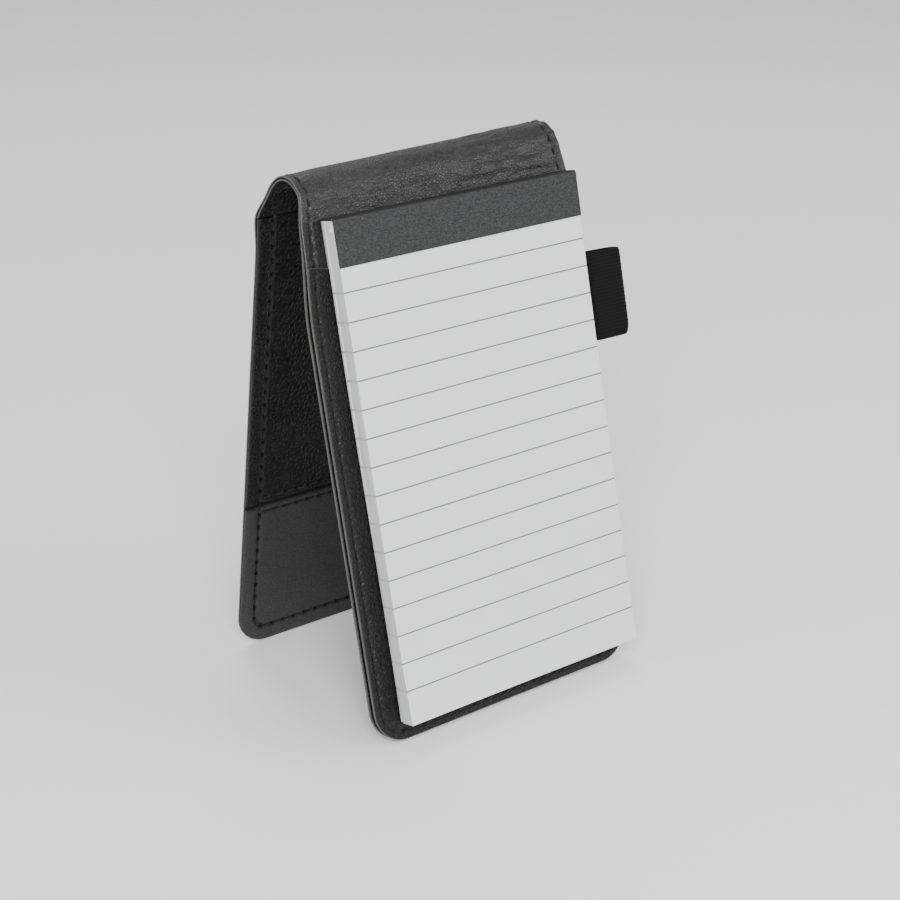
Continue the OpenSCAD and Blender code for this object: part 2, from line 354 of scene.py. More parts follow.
def tapeFinish(name):
    # book cloth: fine crossed threads, the ones across the tape stronger; darker over the head as painted
    # shade
    f = Finish(name, ior=1.45, specular=0.25)
    across = f.grain(f.stretched((1300.0, 3200.0, 3200.0)))
    along = f.grain(f.stretched((4600.0, 1100.0, 1100.0)))
    slub = f.grain(f.stretched((700.0, 2200.0, 2200.0)))
    weave = across * 0.5 + along * 0.3 + slub * 0.2
    # over the head the colour turns dark grey: painted shade on the tape's top face
    head = f.along(upPanel, panelFoot).step(pad["head"] - 0.1, pad["head"] + 0.25)
    face = f.mix(weave.step(0.30, 0.72), grey(0.016, -0.02), grey(0.052, -0.02))
    f.set("baseColor", f.mix(head, face, grey(0.012)))
    f.set("roughness", 0.70 + along * 0.2)
    f.set("normal", f.bump(weave, 0.10))
    return f.material


loop = dict(foot=85.3, length=23.7, left=44.4, right=58.1, depth=5.0, webbing=0.9, neckStart=38.2,
            middle=1.2, ribPitch=0.95, weftPitch=0.42, ribDepth=0.040, rise=1.1,
            bendLeft=41.9, bendRight=43.0, bendHeight=97.0)


def elasticFinish(name):
    # woven elastic: ribs across the band, crossed by closer weft, with a little fuzz
    f = Finish(name, ior=1.45, specular=0.16)
    v = f.along(upPanel, panelFoot)
    rib = (v * (2 * math.pi / loop["ribPitch"])).math("SINE") * 0.5 + 0.5
    weft = (f.along((1.0, 0.0, 0.0)) * (2 * math.pi / loop["weftPitch"])).math("SINE") * 0.5 + 0.5
    fuzz = f.noise(0.25, 3.0, 0.6)
    f.set("baseColor", f.mix(rib * 0.55 + weft * 0.15 + fuzz * 0.3, grey(0.0010), grey(0.0062)))
    f.set("roughness", 0.74 + fuzz * 0.2)
    f.set("normal", f.bump(rib * 0.5 + weft * 0.4 + fuzz * 0.3, 0.12))
    return f.material


finishes = dict(
    skin=leather("pebbledLeather", leatherLook["pebbled"]),
    smooth_skin=leather("smoothLeather", leatherLook["smooth"]),
    lining=leather("liningLeather", leatherLook["lining"]),
    board=boardFinish("greyBoard", 0.20),
    card=boardFinish("backingCard", 0.30),
    glue=boardFinish("padGlue", 0.62),
    paper=pageFinish("ruledPaper"),
    paperEdge=pageEdgeFinish("sheetEdges"),
    tape=tapeFinish("clothTape"),
    elastic=elasticFinish("wovenElastic"),
    thread=threadFinish("waxedThread"),
)
print("finishes made:", len(finishes))


# meshes
def makePiece(name, points, faces, slot, sides=None, sharpAngle=50, rim=None):
    # merges the seams of a closed shell, points its faces outwards and gives it its finish
    mesh = bpy.data.meshes.new(name)
    mesh.from_pydata(points.reshape(-1, 3).tolist(), [], faces.tolist())
    if rim is not None:  # painted light at each point: up to 1 for a painted highlight at an edge, below 0 for painted shade in a groove
        mesh.attributes.new("rim", "FLOAT", "POINT").data.foreach_set("value", rim.ravel())
    if slot == "paper":  # height up the pad, so that the ruling stays put when a leaf moves
        rise = points.reshape(-1, 3) @ np.array(upPanel) / mm - panelFoot
        mesh.attributes.new("padHeight", "FLOAT", "POINT").data.foreach_set("value", rise)
    if sides is not None:
        mesh.polygons.foreach_set("material_index", sides.astype(np.int32))
    work = bmesh.new()
    work.from_mesh(mesh)
    bmesh.ops.remove_doubles(work, verts=work.verts, dist=2e-6)
    bmesh.ops.dissolve_degenerate(work, edges=work.edges, dist=1e-7)
    bmesh.ops.recalc_face_normals(work, faces=work.faces)
    work.to_mesh(mesh)
    work.free()
    mesh.shade_smooth()
    mesh.set_sharp_from_angle(angle=math.radians(sharpAngle))
    mesh.materials.append(finishes[slot])
    piece = bpy.data.objects.new(name, mesh)
    bpy.context.scene.collection.objects.link(piece)
    return piece


def gridFaces(rows, cols, start=0, flip=False):
    # a quad between each four neighbours of a grid whose points are numbered row by row
    at = np.arange(rows * cols).reshape(rows, cols) + start
    quad = np.stack([at[:-1, :-1], at[:-1, 1:], at[1:, 1:], at[1:, :-1]], -1).reshape(-1, 4)
    return quad[:, ::-1] if flip else quad


def shellFaces(rows, cols):
    # an upper and a lower grid, joined by a wall round their rims
    upper = gridFaces(rows, cols)
    lower = gridFaces(rows, cols, rows * cols, True)
    at = np.arange(rows * cols).reshape(rows, cols)
    rim = np.concatenate([at[0, :-1], at[:-1, -1], at[-1, :0:-1], at[:0:-1, 0]])
    after = np.roll(rim, -1)
    wall = np.stack([rim, rim + rows * cols, after + rows * cols, after], -1)
    kinds = np.concatenate([np.zeros(len(upper) + len(lower)), np.ones(len(wall))])
    return np.concatenate([upper, lower, wall]), kinds


def shell(name, x, v, low, high, space, slot, **options):
    # two sheets of heights over one grid, closed round the rim
    faces, kinds = shellFaces(*high.shape)
    points = np.concatenate([space(x, v, high).reshape(-1, 3), space(x, v, low).reshape(-1, 3)])
    rim = options.get("rim")
    rim = None if rim is None else np.concatenate([rim, rim]).astype(np.float32)
    piece = makePiece(name, points, faces, slot, kinds if options.get("rimFinish") else None,
                      options.get("sharpAngle", 50), rim)
    if options.get("rimFinish"):
        piece.data.materials.append(finishes[options["rimFinish"]])
    return piece


def roundedSteps(radius, count=5):
    # a quarter circle's steps: radius times one less the cosine, closest at the edge
    return radius * (1 - np.cos(np.linspace(0, math.pi / 2, count)))


def spaced(start, end, step, radius=0.5, roundEnds=(True, True)):
    # even steps, with closer ones where an end is rounded
    first = start + roundedSteps(radius) if roundEnds[0] else np.array([start])
    last = end - roundedSteps(radius)[::-1] if roundEnds[1] else np.array([end])
    count = max(int(round((last[0] - first[-1]) / step)), 1)
    return np.concatenate([first[:-1], np.linspace(first[-1], last[0], count + 1), last[1:]])


def fineNear(values, places, reach, parts=3):
    # splits each step that lies within reach of a place into smaller ones
    low, high = values[:-1], values[1:]
    near = (np.abs((low + high)[:, None] / 2 - np.array(places)[None]) < reach).any(1)
    share = np.arange(parts) / parts
    fine = (low[near][:, None] + (high - low)[near][:, None] * share).ravel()
    return np.unique(np.round(np.concatenate([values, fine]), 5))


def plateGrid(cols, rows, width, radius, foot=0.0, edge=6.5):
    # rows narrow towards the foot along the corner's quarter circle
    halfWide = width / 2
    v = rows[:, None]
    inCorner = np.clip(radius - (v - foot), 0, radius)
    rowHalf = halfWide - radius + np.sqrt(np.maximum(radius**2 - inCorner**2, 0))
    x = cols[None]
    inner = x * (rowHalf - edge) / (halfWide - edge)
    outer = np.sign(x) * (rowHalf - (halfWide - np.abs(x)))
    return np.where(np.abs(x) > halfWide - edge, outer, inner), v + 0 * x


def inset(x, v, width, foot, top, radius):
    # distance in from the outline of a plate with round corners at its foot
    side, base = width / 2 - np.abs(x), v - foot
    corner = radius - np.hypot(np.maximum(radius - side, 0), np.maximum(radius - base, 0))
    return np.minimum(np.where((side < radius) & (base < radius), corner, np.minimum(side, base)), top - v)


def edgeHighlight(d):
    # strength of the painted highlight along a turned edge: 1 at the outline, falling to nothing within
    # half a millimetre
    return np.exp(-((d / 0.16) ** 2))


def rounding(d, radius):
    # a quarter ellipse: 0 at the outline, 1 from radius inwards
    return np.sqrt(np.maximum(1 - (1 - np.clip(d / radius, 0, 1)) ** 2, 0))


def hill(d, at, width):
    # a bell curve: e to the power of minus the squared distance in widths
    return np.exp(-(((d - at) / width) ** 2))


def undulation(x, v, size, seed, count=9):
    # a sum of crossed cosines with fixed random directions, wavelengths near size
    draw = np.random.default_rng(seed)
    angle, phase = draw.uniform(0, math.pi, count), draw.uniform(0, 2 * math.pi, count)
    wave = size * draw.uniform(0.6, 1.8, count)
    total = sum(np.cos((x * math.cos(a) + v * math.sin(a)) * 2 * math.pi / l + p)
                for a, p, l in zip(angle, phase, wave))
    return total / count


def footPath(width, top, radius, lineInset, pitch):
    # down the left side, round the foot and up the right side, sampled every pitch
    r, h = max(radius - lineInset, 1.0), width / 2 - lineInset
    turn = np.linspace(0, math.pi / 2, 30)
    left = np.stack([-(h - r) - r * np.cos(turn), lineInset + r - r * np.sin(turn)], -1)
    right = left[::-1] * [-1, 1]
    path = np.concatenate([[[-h, top]], left, right, [[h, top]]])
    return sampled(path, pitch)


def sampled(path, pitch):
    # points at even steps along a path, and the path's direction at each
    run = np.concatenate([[0], np.cumsum(np.hypot(*np.diff(path, axis=0).T))])
    count = int(run[-1] / pitch)
    at = (np.arange(count) + 0.5) * run[-1] / count
    point = np.stack([np.interp(at, run, path[:, i]) for i in (0, 1)], -1)
    ahead = np.stack([np.interp(at + 0.4, run, path[:, i]) - np.interp(at - 0.4, run, path[:, i])
                      for i in (0, 1)], -1)
    return point, ahead / np.linalg.norm(ahead, axis=1)[:, None]


def stitchEnds(run, length):
    # each stitch's two holes, half a length behind and ahead of its middle
    point, ahead = run
    return np.concatenate([point - ahead * length / 2, point + ahead * length / 2])


def dimples(x, v, holes, radius):
    # a small dent at each end of each stitch
    total = np.zeros(np.broadcast(x, v).shape)
    for part in np.array_split(holes, max(len(holes) // 40, 1)):
        away = (x[..., None] - part[:, 0]) ** 2 + (v[..., None] - part[:, 1]) ** 2
        total += np.exp(-away / radius**2).sum(-1)
    return np.minimum(total, 1.0)


stitchShape = dict(thick=0.64, flat=0.36, arch=0.16, sunk=0.10, slant=math.radians(7), rings=7, around=8)


def stitches(name, run, height, side, space, length):
    # each is a short rope: an ellipse carried along a low arch, ends sunk in the leather
    point, ahead = run
    size = stitchShape
    along = np.linspace(-1, 1, size["rings"])[:, None]
    around = (np.arange(size["around"] + 1) * 2 * math.pi / size["around"])[None]
    fat = np.sqrt(1 - along**4)
    a = along * length / 2 + 0 * around
    b = size["thick"] / 2 * fat * np.cos(around)
    h = size["thick"] * size["flat"] * fat * np.sin(around) + size["arch"] * (1 - along**2) - size["sunk"]
    turn = np.arctan2(ahead[:, 1], ahead[:, 0]) + size["slant"]
    tx, tv = np.cos(turn)[:, None, None], np.sin(turn)[:, None, None]
    x = point[:, 0, None, None] + a * tx - b * tv
    v = point[:, 1, None, None] + a * tv + b * tx
    w = height(point[:, 0], point[:, 1])[:, None, None] + side * h
    points = space(x, v, w)
    one = gridFaces(size["rings"], size["around"] + 1)
    each = size["rings"] * (size["around"] + 1)
    faces = (one[None] + np.arange(len(point))[:, None, None] * each).reshape(-1, 4)
    return makePiece(name, points, faces, "thread", sharpAngle=80)


def columnsFor(width, places, step=2.2):
    # even columns over a plate, closer beside each stitch line at both sides
    cols = spaced(-width / 2, width / 2, step)
    marks = [s * (width / 2 - p) for p in places for s in (-1, 1)]
    return fineNear(cols, marks, 1.6, 5)


# leather of the pad panel
panelLook = dict(edgeRound=0.40, liningStart=1.6, liningFold=0.9, lining=0.5, boardEnd=(121.0, 137.0),
                 liningNarrow=0.009, foldStitch=2.4, foldPitch=3.4, foldLength=2.6, grooveDepth=0.28,
                 threadSunk=0.24, dent=0.22)
noTop = 1e6  # for an outline that runs on over the fold


def liningFloor(s):
    # the board under the lining ends before the fold, so the lining sinks onto the skin there
    sink = smooth(s, *panelLook["boardEnd"]) * (1 - smooth(s, farEnd + 0.5, farEnd + 10.0))
    return panelLook["liningStart"] + (panelLook["liningFold"] - panelLook["liningStart"]) * sink


def foldWrinkles(x, s):
    # soft creases along the fold, stronger and closer towards its right end
    over = smooth(s, nearEnd - 10, nearEnd) * (1 - smooth(s, farEnd - 2, farEnd + 6))
    bend = 2.1 * undulation(x, s * 2.2, 21.0, 31) + 0.055 * (x - 10)
    lines = np.cos((s + bend) * 2 * math.pi / 3.6) + 0.5 * np.cos((s - 1.6 * bend) * 2 * math.pi / 2.3)
    right = smooth(x, -8.0, 36.0)
    return over * (lines * (0.045 + 0.20 * right) * (0.6 + 0.8 * undulation(x, s, 13.0, 9))
                   + 0.15 * undulation(x, s, 16.0, 5))


foldCols = columnsFor(case["width"], [panelLook["foldStitch"]])


def foldRun(side, start, end):
    # one straight line of stitches up a side of the fold
    x = side * (half - panelLook["foldStitch"])
    return sampled(np.array([[x, start], [x, end]]), panelLook["foldPitch"])


def linedHeights(x, s, d, holes, border=0.0):
    # the lining's two faces: its floor, and its thickness with wrinkles less the stitch groove
    # and dents; both are drawn to the middle at the rounded edge
    floor = liningFloor(s) - border * (1 - smooth(d, 3.6, 6.4))
    bothEnds = hill(half - np.abs(x), panelLook["foldStitch"], 0.42)
    onFold = smooth(s, case["pocketTop"] - 2, case["pocketTop"]) * (1 - smooth(s, farEnd + 6, farEnd + 9))
    top = floor + panelLook["lining"] + foldWrinkles(x, s)
    top = top - panelLook["grooveDepth"] * bothEnds * onFold
    top = top - panelLook["dent"] * dimples(x, s, holes, 0.45)
    e = rounding(d, panelLook["edgeRound"])
    middle = floor + panelLook["lining"] / 2
    return middle + (floor - middle) * e, middle + (top - middle) * e


nearRuns = [foldRun(side, case["pocketTop"] + 0.6, foldMid - 0.4) for side in (-1, 1)]
farRuns = [foldRun(side, foldMid + 0.4, farEnd + 7.5) for side in (-1, 1)]


def joinRuns(runs):
    # several stitch lines as one
    return tuple(np.concatenate([r[i] for r in runs]) for i in (0, 1))


nearFoldRun, farFoldRun = joinRuns(nearRuns), joinRuns(farRuns)


def asPoint(place):
    # plain numbers, as a blend's ends are given
    return tuple(float(c) for c in place)


# where the leather starts and ends to bend, on each side of the fold's middle
nearBend = [asPoint(caseSpace(-originX, s, case["foldLine"])) for s in (nearEnd - 5.0, foldMid - 0.3)]
farBend = [asPoint(caseSpace(-originX, s, case["foldLine"])) for s in (foldMid + 0.3, farEnd + 5.0)]


def bendNear(piece, *nodes):  # bakes the transform of a piece between the pad panel and the fold's middle, and hides the CAD nodes it replaces
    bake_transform(piece)
    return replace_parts(piece, *nodes) if nodes else piece


def bendFar(piece, *nodes):  # bakes the transform of a piece between the fold's middle and the flap, and hides the CAD nodes it replaces
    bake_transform(piece)
    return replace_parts(piece, *nodes) if nodes else piece


def foldThreadHeight(x, s):
    # the thread lies a little down in its groove
    return liningFloor(s) + panelLook["lining"] - panelLook["threadSunk"]


def panelLeather():
    # outer skin: a plate with a turned, rounded edge, carried to the middle of the fold
    rows = spaced(0.0, foldMid, 0.9, 0.5, (True, False))
    rows = fineNear(rows, [nearEnd + 4.0], 9.0, 2)
    cols = columnsFor(case["width"], [1.2])
    x, s = plateGrid(cols, rows, case["width"], case["cornerRadius"])
    d = inset(x, s, case["width"], 0.0, noTop, case["cornerRadius"])
    e = rounding(d, 0.42)
    low = 0.0 - 0.05 * undulation(x, s, 22.0, 11) * smooth(d, 0, 6)
    turned = 0.35 * (1 - smooth(d, 1.1, 2.2)) * (1 - smooth(s, 118, 134))
    high = case["skin"] + turned
    middle = high / 2
    piece = shell("panelSkin", x, s, middle + (low - middle) * e, middle + (high - middle) * e,
                  caseSpace, "skin", rim=edgeHighlight(d))
    bendNear(piece, "panel_skin", "spine_skin")

    # lining: slightly smaller than the skin, so that a dark groove shows between the edges
    rows = spaced(0.0, foldMid, 1.1, 0.5, (True, False))
    rows = fineNear(rows, [nearEnd - 2.0], 20.0, 2)
    x, s = plateGrid(foldCols, rows, case["width"], case["cornerRadius"])
    pull = 1 - panelLook["liningNarrow"] * (1 - smooth(s, 112, 128))
    d = inset(x, s, case["width"], 0.0, noTop, case["cornerRadius"])
    low, high = linedHeights(x, s, d, stitchEnds(nearFoldRun, panelLook["foldLength"]))
    piece = shell("panelLining", x * pull, np.maximum(s, 0.35), low, high, caseSpace, "lining", rim=edgeHighlight(d))
    bendNear(piece, "panel_lining", "spine_lining")

    bendNear(stitches("foldStitchesNear", nearFoldRun, foldThreadHeight, 1, caseSpace,
                      panelLook["foldLength"]))


pocketLook = dict(floor=2.12, openFloor=2.6, face=3.3, line=2.2, pitch=3.3, groove=0.24, stitch=2.5,
                  holes=2.6, hem=2.4, lift=1.8)
pocketRun = footPath(case["width"], case["pocketTop"] - 1.2, case["cornerRadius"], pocketLook["line"],
                     pocketLook["pitch"])


def pocketFace(x, v):
    # the pocket's outer face: a swollen rim two millimetres wide, and a slight unevenness inside
    d = inset(x, v, case["width"], 0.0, case["pocketTop"], case["cornerRadius"])
    swell = 0.10 * np.clip(1 - ((d - 1.0) / 1.0) ** 2, 0, 1)
    return pocketLook["face"] - 0.12 + swell + 0.04 * undulation(x, v, 18.0, 3) * smooth(d, 2, 8)


def pocketSpace(x, v, w):
    # follows the panel's leather, its top edge pulled up a little at the left
    lift = pocketLook["lift"] * (1 - smooth(x, -half, -half + 11.0)) * smooth(v, 106.0, case["pocketTop"])
    return panelSpace(x + skew(v), v + lift, w)


def cardPocket():
    # one sewn leather face: a padded rim outside the stitch groove, and a turned edge at the top
    rows = spaced(0.0, case["pocketTop"], 0.7, 0.6)
    rows = fineNear(rows, [pocketLook["line"], case["pocketTop"] - pocketLook["hem"]], 1.4, 3)
    cols = columnsFor(case["width"], [pocketLook["line"]])
    x, v = plateGrid(cols, rows, case["width"], case["cornerRadius"])
    d = inset(x, v, case["width"], 0.0, case["pocketTop"], case["cornerRadius"])
    away = inset(x, v, case["width"], 0.0, noTop, case["cornerRadius"])
    high = pocketFace(x, v) - pocketLook["groove"] * hill(away, pocketLook["line"], 0.40)
    high = high - 0.20 * dimples(x, v, stitchEnds(pocketRun, pocketLook["holes"]), 0.42)
    high = high - 0.14 * hill(case["pocketTop"] - v, pocketLook["hem"], 0.30) * smooth(away, 2.0, 3.0)
    slot = smooth(away, 3.6, 4.4)  # the border is sewn down; inside it the card slot stays open
    low = pocketLook["floor"] + (pocketLook["openFloor"] - pocketLook["floor"]) * slot
    middle = (high + low) / 2
    e = rounding(d, 0.38)
    piece = shell("cardPocket", x, v, middle + (low - middle) * e, middle + (high - middle) * e,
                  pocketSpace, "skin", rim=edgeHighlight(d))
    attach(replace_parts(piece, "card_pocket"), "pad_panel")
    height = lambda x, v: pocketFace(x, v) - pocketLook["groove"] + 0.02
    sewn = stitches("pocketStitches", pocketRun, height, 1, pocketSpace, pocketLook["stitch"])
    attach(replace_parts(sewn, "panel_thread"), "pad_panel")


panelLeather()
cardPocket()
print("pad panel's leather made")


# leather of the flap
flapLook = dict(top=128.1, seam=44.5, seamGap=0.04, line=4.5, pitch=3.7, stitch=3.0, rim=0.34,
                rowInset=2.3, rowPitch=3.5, rowStitch=2.8, groove=0.46, rowGroove=0.34, pressed=0.60,
                dent=0.34, narrow=0.017)
flapRun = footPath(case["width"], flapLook["top"] - 1.4, case["cornerRadius"], flapLook["line"],
                   flapLook["pitch"])
seamWide = half - flapLook["line"] - 1.0
seamRows = [flapLook["seam"] + k * flapLook["rowInset"] for k in (-1, 1)]
seamRuns = joinRuns([sampled(np.array([[-seamWide, row], [seamWide, row]]), flapLook["rowPitch"])
                     for row in seamRows])


def flapFace(x, v):
    # height of the flap's outer face, outwards from its flat plane: a swollen rim outside the
    # stitches, a lap under the two rows, a little fullness in the field, and tucks where the seam
    # meets the rim
    d = inset(x, v, case["width"], 0.0, flapLook["top"] + 6, case["cornerRadius"])
    swell = flapLook["rim"] * np.clip(1 - ((d - 2.3) / 2.2) ** 2, 0, 1)
    seamAway = np.abs(v - flapLook["seam"])
    lap = 0.20 * (1 - smooth(seamAway, 2.6, 4.4)) * smooth(d, 3.6, 5.0)
    field = 0.16 * smooth(d, 5.0, 12.0) + 0.10 * undulation(x, v, 24.0, 7) * smooth(d, 5, 10)
    tuck = 0.22 * hill(seamAway, 0.0, 0.55) * (1 - smooth(d, 3.5, 5.0))
    tuck = tuck + 0.10 * hill(seamAway, 2.6, 0.8) * (1 - smooth(d, 3.0, 5.0))
    return swell + lap + field - tuck


def flapWidth(x, v):
    # the flap is cut a little narrower than the pad panel
    return x * (1 - flapLook["narrow"] * (1 - smooth(v, 116.0, 134.0)))


def flapSkin(name, foot, top, radius, slot, node):
    # one outer leather of the flap: flapFace less the stitch grooves, the pressed seam and a dent
    # at each hole; both faces are drawn to the middle at the rounded edge
    rows = spaced(foot, top, 0.7, 0.5)
    rows = fineNear(rows, seamRows + [flapLook["line"]], 1.2, 3)
    cols = columnsFor(case["width"], [flapLook["line"]], 1.3)
    x, v = plateGrid(cols, rows, case["width"], radius, foot)
    d = inset(x, v, case["width"], foot, top, radius)
    away = inset(x, v, case["width"], 0.0, noTop, case["cornerRadius"])
    out = flapFace(x, v) - flapLook["groove"] * hill(away, flapLook["line"], 0.45)
    seamAway = np.abs(v - flapLook["seam"])
    out = out - flapLook["rowGroove"] * hill(seamAway, flapLook["rowInset"], 0.45) * smooth(away, 4.6, 6.0)
    holes = np.concatenate([stitchEnds(flapRun, flapLook["stitch"]),
                            stitchEnds(seamRuns, flapLook["rowStitch"])])
    holes = holes[(holes[:, 1] > foot - 1) & (holes[:, 1] < top + 1)]
    seamDip = hill(seamAway, 0.0, 0.62)
    out = out - flapLook["pressed"] * seamDip * smooth(away, 1.0, 3.0)
    dents = dimples(x, v, holes, 0.55)
    out = out - flapLook["dent"] * dents
    # how far each point lies in painted shade: the stitch holes, the edge stitch groove and the pressed
    # seam
    grooveShade = dents + 0.45 * hill(away, flapLook["line"], 0.40) + 1.1 * seamDip
    low, high = -out, np.full_like(out, case["skin"])
    middle = (low + high) / 2
    e = rounding(d, 0.45)
    # the rim attribute: a weaker painted highlight at the edge, less this painted shade
    piece = shell(name, flapWidth(x, v), v, middle + (low - middle) * e, middle + (high - middle) * e,
                  flapSpace, slot, rim=0.35 * edgeHighlight(away) - np.minimum(grooveShade, 1))
    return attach(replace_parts(piece, node), "flap")


def flapLeather():
    # two skins that meet at the seam, with their stitches
    gap = flapLook["seamGap"] / 2
    flapSkin("flapSkinUpper", flapLook["seam"] + gap, flapLook["top"], 0.0, "skin", "flap_skin_upper")
    flapSkin("flapSkinLower", 0.0, flapLook["seam"] - gap, case["cornerRadius"], "smooth_skin",
             "flap_skin_lower")
    edgeHeight = lambda x, v: flapLook["groove"] - 0.10 - flapFace(x, v)
    seamHeight = lambda x, v: 0.26 - flapFace(x, v)
    narrowSpace = lambda x, v, w: flapSpace(flapWidth(x, v), v, w)
    edge = stitches("flapEdgeStitches", flapRun, edgeHeight, -1, narrowSpace, flapLook["stitch"])
    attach(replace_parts(edge, "flap_edge_thread"), "flap")
    seam = stitches("flapSeamStitches", seamRuns, seamHeight, -1, flapSpace, flapLook["rowStitch"])
    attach(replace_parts(seam, "flap_seam_thread"), "flap")

    # inner strip, from the flap skin's top edge round to the middle of the fold
    start, end = foldMid, caseEnd - flapLook["top"] - 0.15
    rows = spaced(start, end, 0.6, 0.4, (False, True))
    x, s = plateGrid(columnsFor(case["width"], [1.2]), rows, case["width"], 0.0)
    d = np.minimum(half - np.abs(x), end - s)
    e = rounding(d, 0.62)
    low = -0.05 * undulation(x, s, 22.0, 11) * smooth(d, 0, 6)
    high = np.full_like(low, case["skin"])
    middle = high / 2
    piece = shell("flapStrip", x, s, middle + (low - middle) * e, middle + (high - middle) * e,
                  caseSpace, "skin", rim=edgeHighlight(d))
    bendFar(piece, "flap_strip", "spine_skin")

    # lining: the whole back of the standing case
    rows = spaced(foldMid, caseEnd, 1.1, 0.5, (False, True))
    rows = fineNear(rows, [farEnd], 12.0, 2)
    back = caseEnd - rows[::-1]
    x, v = plateGrid(foldCols, back, case["width"], case["cornerRadius"])
    d = inset(x, v, case["width"], 0.0, noTop, case["cornerRadius"])
    onFlap = 1 - smooth(v, 118.0, 130.0)
    low, high = linedHeights(x, caseEnd - v, d, stitchEnds(farFoldRun, panelLook["foldLength"]),
                             0.62 * onFlap)
    high = high + 0.10 * undulation(x, v, 30.0, 21) * smooth(d, 2, 9) * (1 - smooth(v, 105, 118))
    piece = shell("flapLining", flapWidth(x, v), v, low, high, flapSpace, "lining", rim=edgeHighlight(d))
    bendFar(piece, "flap_lining", "spine_lining")
    bendFar(stitches("foldStitchesFar", farFoldRun, foldThreadHeight, 1, caseSpace,
                     panelLook["foldLength"]))


flapLeather()
print("flap's leather made")


# the pad
def padLift(x, v):
    # the leaves fan a little towards the foot, more at the outer corners
    foot = np.clip((pad["foot"] + pad["fanUp"] - v) / pad["fanUp"], 0, 1)
    across = (x - (pad["left"] + pad["right"]) / 2) / ((pad["right"] - pad["left"]) / 2)
    return pad["fanFoot"] * foot**2 + pad["fanCorner"] * foot**2 * across**2


def leafGrid(top):
    # even columns, and rows three millimetres apart
    x = np.linspace(pad["left"], pad["right"], 27)[None]
    rows = spaced(pad["foot"], top, 3.0, roundEnds=(False, False))
    return np.broadcast_arrays(x, rows[:, None])


def padBlocks():
    # most of the leaves as one block that steps up under the tape, and a few sheets behind it
    x, v = leafGrid(pad["head"])
    rows = np.unique(np.concatenate([v[:, 0], pad["tapeFoot"] + np.array([0.30, 0.42])]))
    x, v = np.broadcast_arrays(x[:1], rows[:, None])
    raised = (v > pad["tapeFoot"] + 0.36).astype(float)
    high = pad["blockHigh"] + padLift(x, v) + raised * (pad["face"] - pad["blockHigh"])
    low = np.full_like(high, pad["blockLow"]) + 0.35 * padLift(x, v)
    piece = shell("pageBlock", x + 0.05 * np.sin(v / 17.0), v, low, high, panelSpace, "paper",
                  rimFinish="paperEdge", sharpAngle=30)
    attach(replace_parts(piece, "page_block"), "pad")

    high = pad["blockLow"] - 0.03 + 0.35 * padLift(x, v)
    low = np.full_like(high, pad["lastLow"])
    shift = 0.22 * np.sin(v / 23.0 + 0.6) - 0.10
    piece = shell("lastSheets", x + shift, np.where(v < pad["foot"] + 0.01, v + 0.25, v), low, high,
                  panelSpace, "paper", rimFinish="paperEdge", sharpAngle=30)
    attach(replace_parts(piece, "last_sheets"), "pad")


def topSheet(number):
    # one leaf; its head stays under the tape, where its rows lie closer
    low = pad["blockHigh"] + pad["gap"] + (3 - number) * (pad["sheet"] + pad["gap"])
    x, v = leafGrid(pad["tapeFoot"] - 3.0)
    rows = np.concatenate([v[:, 0], np.linspace(pad["tapeFoot"] - 2.6, pad["tapeFoot"] + 0.28, 13)])
    x, v = np.broadcast_arrays(x[:1], rows[:, None])
    base = low + padLift(x, v)
    piece = shell("topSheet%d" % number, x + 0.03 * (number - 2), v, base, base + pad["sheet"],
                  panelSpace, "paper", rimFinish="paperEdge", sharpAngle=30)
    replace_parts(piece, "sheet_%d" % number)
    start, end = (asPoint(panelSpace(-originX, pad["tapeFoot"] + a, pad["face"])) for a in (0.1, -1.3))
    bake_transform(piece)


tapeLook = dict(cloth=0.33, bend=0.75, overhang=0.12)


def bindingTape():
    # a strip of cloth carried along the pad's head: up the face, round the edge, over the top
    turn = np.linspace(0, math.pi / 2, 7)[1:-1]
    radius, out = tapeLook["bend"], pad["face"] + pad["tape"]
    head = pad["head"] + pad["tape"]
    v = np.concatenate([np.linspace(pad["tapeFoot"], head - radius, 14),
                        head - radius + radius * np.sin(turn), np.full(10, head)])
    w = np.concatenate([np.full(14, out), out - radius + radius * np.cos(turn),
                        np.linspace(out - radius, pad["cardBack"], 10)])
    n = np.stack([np.gradient(w), -np.gradient(v)], -1)
    n = -n / np.linalg.norm(n, axis=1)[:, None]
    x = np.linspace(pad["left"] - tapeLook["overhang"], pad["right"] + tapeLook["overhang"], 60)[None]
    v, w = v[:, None] + 0 * x, w[:, None] + 0.02 * np.sin(x / 5.3)
    innerV, innerW = v - n[:, :1] * tapeLook["cloth"], w - n[:, 1:] * tapeLook["cloth"]
    points = np.concatenate([panelSpace(x, v, w).reshape(-1, 3),
                             panelSpace(x, innerV, innerW).reshape(-1, 3)])
    piece = makePiece("bindingTape", points, shellFaces(*v.shape)[0], "tape", sharpAngle=30)
    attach(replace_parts(piece, "binding_tape"), "pad")


scrap = dict(foot=129.6, length=3.0, reach=1.25, height=7.1, thick=0.12, tucked=0.35)


def paperScrap():
    # a torn corner of paper that stands out past the tape's end
    u = np.linspace(0, 1, 9)[None]
    t = np.linspace(0, 1, 12)[:, None]
    v = scrap["foot"] + scrap["length"] * t + 0.25 * np.sin(9 * t) * u
    reach = scrap["reach"] * (1 - t) ** 0.8 * (0.8 + 0.2 * np.sin(14 * t)) + 0.12
    x = pad["left"] + scrap["tucked"] - u * reach
    w = scrap["height"] + 0.5 * u * t + 0 * v
    piece = shell("paperScrap", x, v, w, w + scrap["thick"], panelSpace, "paper", sharpAngle=30)
    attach(piece, "pad")


padBlocks()
for number in (1, 2, 3):
    topSheet(number)
bindingTape()
paperScrap()
print("pad made")


